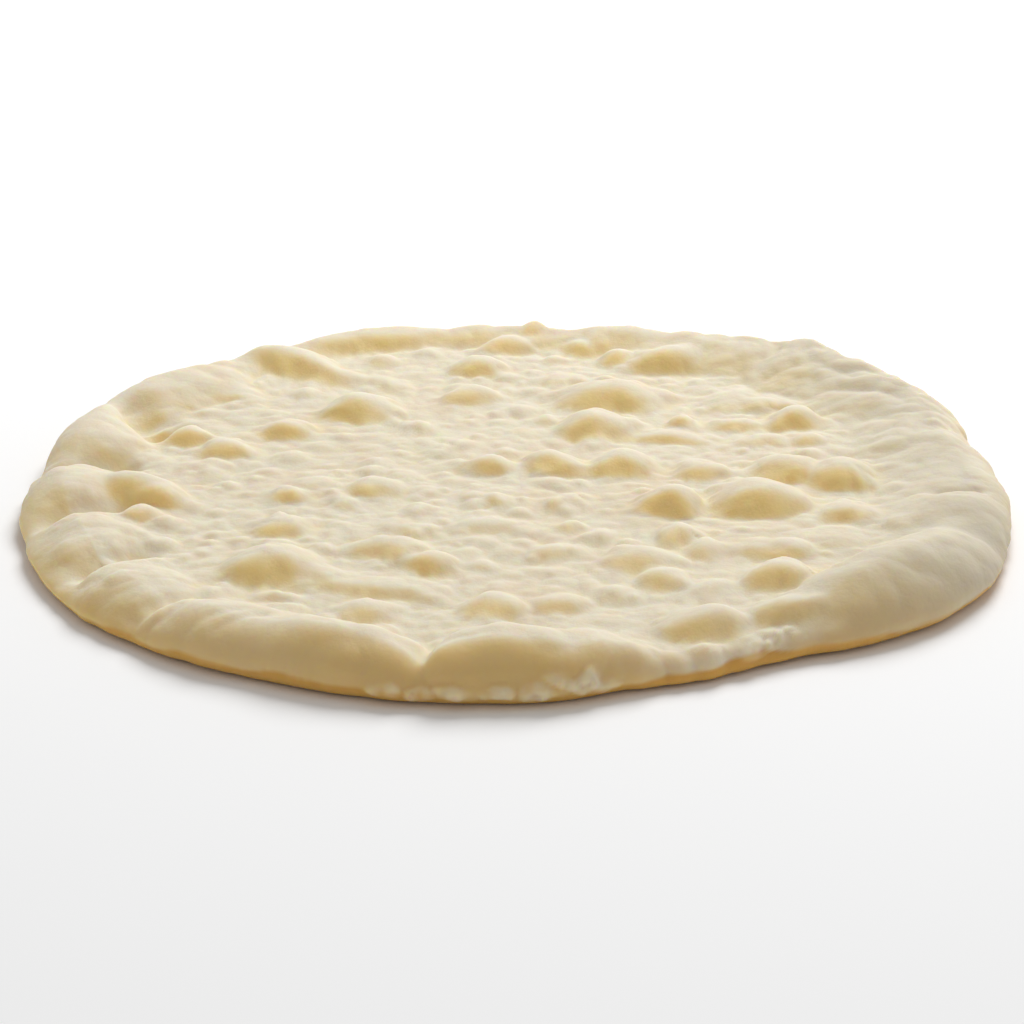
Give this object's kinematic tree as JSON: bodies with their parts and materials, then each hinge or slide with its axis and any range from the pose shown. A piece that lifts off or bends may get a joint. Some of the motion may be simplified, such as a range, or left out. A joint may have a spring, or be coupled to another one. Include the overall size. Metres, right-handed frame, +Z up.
{
  "type": "pizza base",
  "caption": "Round, flat, par-baked pizza base with a rolled lumpy rim and a blistered top, ready to be topped and baked.",
  "frame": {"origin": "middle of the part's outline, on the flat underside", "axes": "+Z up out of the blistered top; -Y is the front, where the rim has a cleft and a thin stretch; +X to the right of it"},
  "size_m": [0.2906, 0.2926, 0.0189],
  "materials": {
    "dough": "soft matt par-baked bread dough, pale cream on top, yellower on steep flanks, golden along the bottom edge"
  },
  "bodies": {
    "root": {"pizza_base": "dough"}
  },
  "joints": []
}
